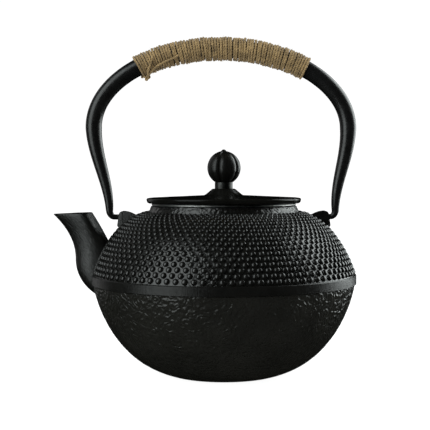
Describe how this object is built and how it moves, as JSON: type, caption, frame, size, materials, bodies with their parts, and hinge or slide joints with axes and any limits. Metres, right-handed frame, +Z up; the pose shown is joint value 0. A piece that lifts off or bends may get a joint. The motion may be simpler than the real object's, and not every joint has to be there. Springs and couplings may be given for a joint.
{
  "type": "cast iron teapot",
  "caption": "Round black teapot with a hobnailed shoulder, short side spout, knobbed lift-off lid, steel infuser and a swinging arched bail bound with twine at the grip.",
  "frame": {"origin": "middle of the pot's flat base, on the surface it stands on", "axes": "+Z up along the pot's turning axis; -X towards the spout; the bail stands in the XZ plane and swings about an axis along X; +Y is the back"},
  "size_m": [0.1932, 0.1684, 0.2138],
  "materials": {
    "cast_iron": "black baked enamel on rough sand-cast iron, satin",
    "black_steel": "smooth black lacquer, satin, thin on the bends",
    "hemp_twine": "undyed natural-fibre twine, hairy and matte",
    "stainless_steel": "turned stainless steel, satin",
    "dull_steel": "dark burnished steel"
  },
  "bodies": {
    "pot": {"pot_body": "cast_iron"},
    "bail": {"bail_handle": "black_steel", "grip_wrap": "hemp_twine"},
    "infuser": {"infuser_rim": "stainless_steel", "infuser_basket": "stainless_steel"},
    "lid": {"lid": "cast_iron", "knob_ball": "cast_iron", "knob_collar": "dull_steel", "knob_stud": "dull_steel", "knob_washer": "dull_steel", "knob_nut": "dull_steel"}
  },
  "joints": [
    {"name": "bail_swing", "type": "hinge", "parent": "pot", "child": "bail", "pos_m": [0, 0, 0.0995], "axis": [1, 0, 0], "range_deg": [-120, 120]},
    {"name": "infuser_lift", "type": "slide", "parent": "pot", "child": "infuser", "axis": [0, 0, 1], "range_m": [0, 0.052]},
    {"name": "lid_lift", "type": "slide", "parent": "infuser", "child": "lid", "axis": [0, 0, 1], "range_m": [0, 0.05]}
  ]
}
